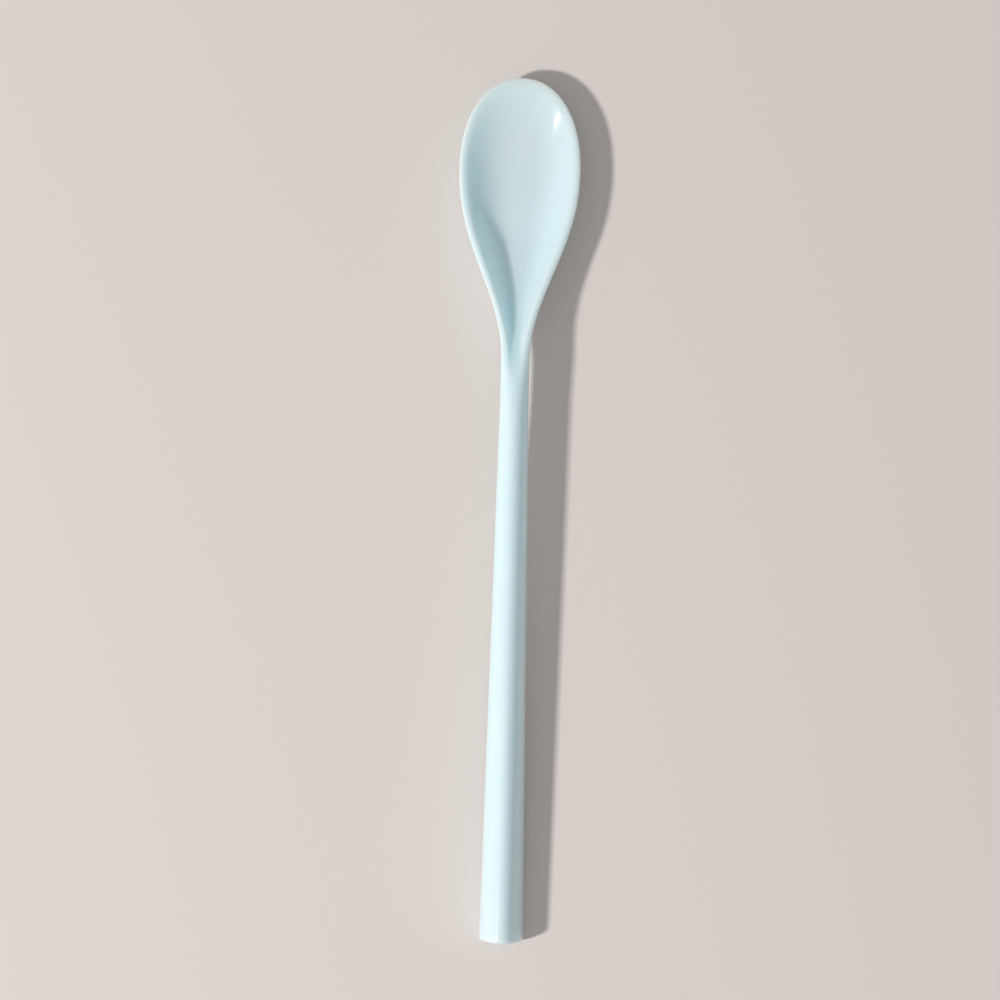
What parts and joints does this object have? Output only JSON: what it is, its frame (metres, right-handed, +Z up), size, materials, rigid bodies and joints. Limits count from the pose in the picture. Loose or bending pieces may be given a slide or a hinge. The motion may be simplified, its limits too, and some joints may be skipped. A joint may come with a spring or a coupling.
{
  "type": "stirring spoon",
  "caption": "Long one-piece moulded stirring spoon: shallow oval bowl whose hollow runs out in a groove on the neck, and a tapered handle of soft three-sided section.",
  "frame": {"origin": "middle of the spoon's length and width, on the table it lies on", "axes": "+Y along the spoon towards the bowl's tip, +Z up out of the bowl, +X to the right"},
  "size_m": [0.0278, 0.2, 0.0113],
  "materials": {
    "melamine": "glossy moulded, pale aqua"
  },
  "bodies": {
    "root": {"spoon": "melamine"}
  },
  "joints": []
}
